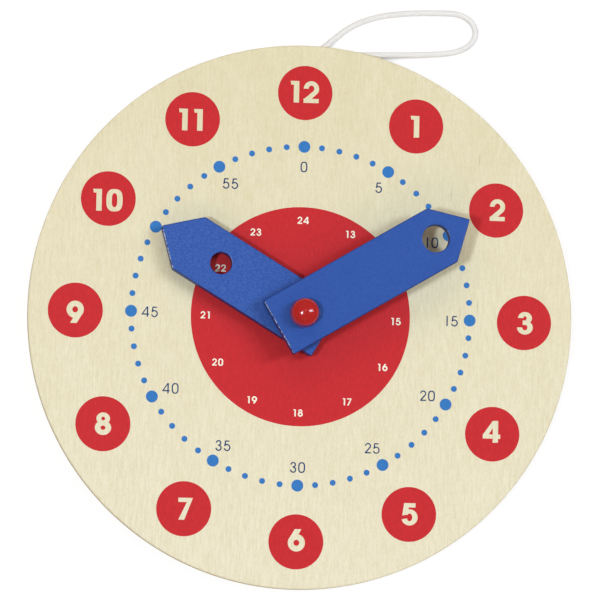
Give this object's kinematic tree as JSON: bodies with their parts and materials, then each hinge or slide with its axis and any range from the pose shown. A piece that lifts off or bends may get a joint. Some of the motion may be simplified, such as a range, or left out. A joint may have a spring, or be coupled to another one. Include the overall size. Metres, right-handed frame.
{
  "type": "wooden teaching clock",
  "caption": "Round wooden learning clock dial with printed hour, minute and day rings, stacked pointed hands with sight holes on a domed peg, and a cord loop to hang it by.",
  "frame": {"origin": "centre of the back face of the dial board, which is the middle of the part's base when it lies on its back, measured without the cord", "axes": "+Z out of the printed face, along the peg; +Y to 12 o'clock; +X to 3 o'clock"},
  "size_m": [0.21, 0.2263, 0.0282],
  "materials": {
    "board_wood": "clear matt lacquer over pale plywood, printed ink",
    "hour_hand_paint": "blue paint, satin",
    "minute_hand_paint": "blue paint, satin",
    "peg_paint": "red paint, glossy",
    "washer_nylon": "natural nylon",
    "staple_wire": "drawn wire",
    "cord_braid": "braided white cord"
  },
  "bodies": {
    "dial": {"dial_board": "board_wood", "dial_washer": "washer_nylon", "hand_washer": "washer_nylon", "head_washer": "washer_nylon", "centre_peg": "peg_paint", "cord_staple": "staple_wire", "hanging_cord": "cord_braid"},
    "hour": {"hour_hand": "hour_hand_paint"},
    "minute": {"minute_hand": "minute_hand_paint"}
  },
  "joints": [
    {"name": "hour_turn", "type": "hinge", "parent": "dial", "child": "hour", "pos_m": [0, 0, 0.0102], "axis": [0, 0, -1], "continuous": true},
    {"name": "minute_turn", "type": "hinge", "parent": "dial", "child": "minute", "pos_m": [0, 0, 0.0174], "axis": [0, 0, -1], "continuous": true}
  ]
}
